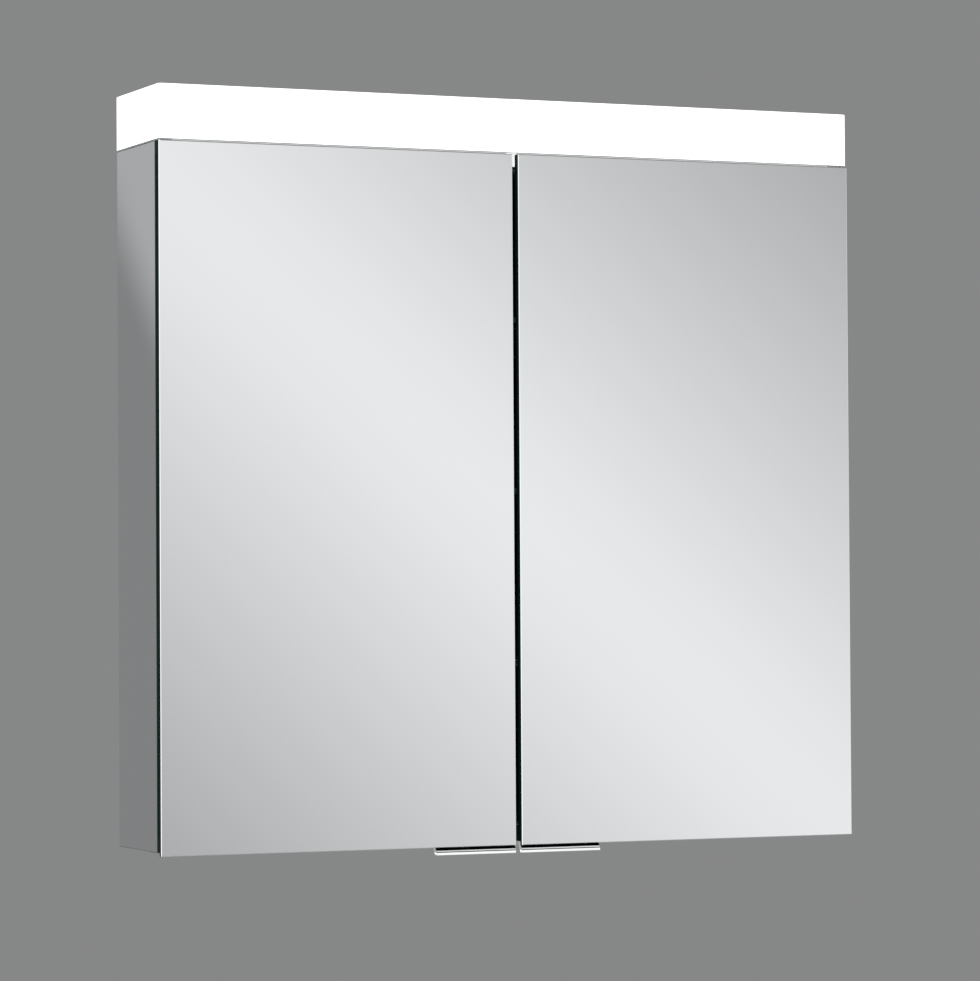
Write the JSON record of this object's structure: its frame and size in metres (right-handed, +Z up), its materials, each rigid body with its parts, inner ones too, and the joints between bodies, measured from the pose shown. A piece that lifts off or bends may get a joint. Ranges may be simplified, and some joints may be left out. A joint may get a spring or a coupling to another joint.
{
  "type": "mirrored bathroom cabinet",
  "caption": "Surface-mounted double-door mirror cabinet with a full-width opal light bar on top, pivot-hung doors with handle lips, glass shelves, socket and rocker switch.",
  "frame": {"origin": "centre of the four wall screw holes, on the wall plane", "axes": "+Y points into the wall, the doors face -Y, +X to the viewer's right, +Z up"},
  "size_m": [0.7, 0.12, 0.7],
  "materials": {
    "silvered_mirror": "silvered 4 mm glass, dark green polished edge",
    "bonding_film": "dark bonding film between the two panes",
    "white_board": "white satin faced board",
    "back_board": "grey faced thin board",
    "shelf_glass": "clear float glass with ground edges",
    "chrome": "polished chrome",
    "zinc_steel": "bright zinc plated steel",
    "aluminium": "satin anodised",
    "white_nylon": "moulded nylon",
    "grey_silicone": "translucent silicone",
    "magnet": "ferrite",
    "opal": "opal diffusing acrylic, lit",
    "led_board": "white solder mask",
    "led": "yellow phosphor, lit",
    "white_plastic": "moulded, satin gloss",
    "grey_plastic": "moulded, fine texture",
    "black_rubber": "moulded"
  },
  "bodies": {
    "cabinet": {"left_side_panel": "white_board", "left_side_mirror": "silvered_mirror", "left_pivot_pins": "zinc_steel", "left_top_pivot_bracket": "zinc_steel", "left_bottom_pivot_bracket": "zinc_steel", "right_side_panel": "white_board", "right_side_mirror": "silvered_mirror", "right_pivot_pins": "zinc_steel", "right_top_pivot_bracket": "zinc_steel", "right_bottom_pivot_bracket": "zinc_steel", "top_panel": "white_board", "bottom_panel": "white_board", "back_panel": "back_board", "back_mirror": "silvered_mirror", "carcass_screws": "zinc_steel", "hanging_blocks": "grey_plastic", "lower_glass_shelf": "shelf_glass", "middle_glass_shelf": "shelf_glass", "upper_glass_shelf": "shelf_glass", "shelf_supports": "chrome", "pivot_washers": "white_nylon", "pivot_bracket_screws": "zinc_steel", "catch_housings": "white_nylon", "catch_magnets": "magnet", "door_bumpers": "grey_silicone", "light_diffuser": "opal", "light_base_tray": "aluminium", "light_bar_screws": "zinc_steel", "led_carrier": "aluminium", "front_led_board": "led_board", "top_led_board": "led_board", "front_leds": "led", "top_leds": "led", "led_driver": "white_plastic", "terminal_block": "white_nylon", "internal_supply_lead": "white_plastic", "underlight_lens": "opal", "underlight_led_board": "led_board", "underlight_leds": "led", "power_box": "white_plastic", "power_box_faceplate": "white_plastic", "socket_insert": "white_plastic", "switch_housing": "white_plastic", "cable_grommet": "black_rubber"},
    "left_door": {"left_door_front_mirror": "silvered_mirror", "left_door_rear_mirror": "silvered_mirror", "left_door_bonding_film": "bonding_film", "left_door_pivot_blocks": "zinc_steel", "left_door_handle": "chrome", "left_door_strike_plates": "zinc_steel"},
    "right_door": {"right_door_front_mirror": "silvered_mirror", "right_door_rear_mirror": "silvered_mirror", "right_door_bonding_film": "bonding_film", "right_door_pivot_blocks": "zinc_steel", "right_door_handle": "chrome", "right_door_strike_plates": "zinc_steel"},
    "light_switch": {"switch_rocker": "white_plastic"}
  },
  "joints": [
    {"name": "left_door_pivot", "type": "hinge", "parent": "cabinet", "child": "left_door", "pos_m": [-0.347, -0.11375, 0], "axis": [0, 0, -1], "range_deg": [0, 100]},
    {"name": "right_door_pivot", "type": "hinge", "parent": "cabinet", "child": "right_door", "pos_m": [0.347, -0.11375, 0], "axis": [0, 0, 1], "range_deg": [0, 100]},
    {"name": "light_switch_rock", "type": "hinge", "parent": "cabinet", "child": "light_switch", "pos_m": [0.298, -0.06, 0.25925], "axis": [1, 0, 0], "range_deg": [0, 16]}
  ]
}
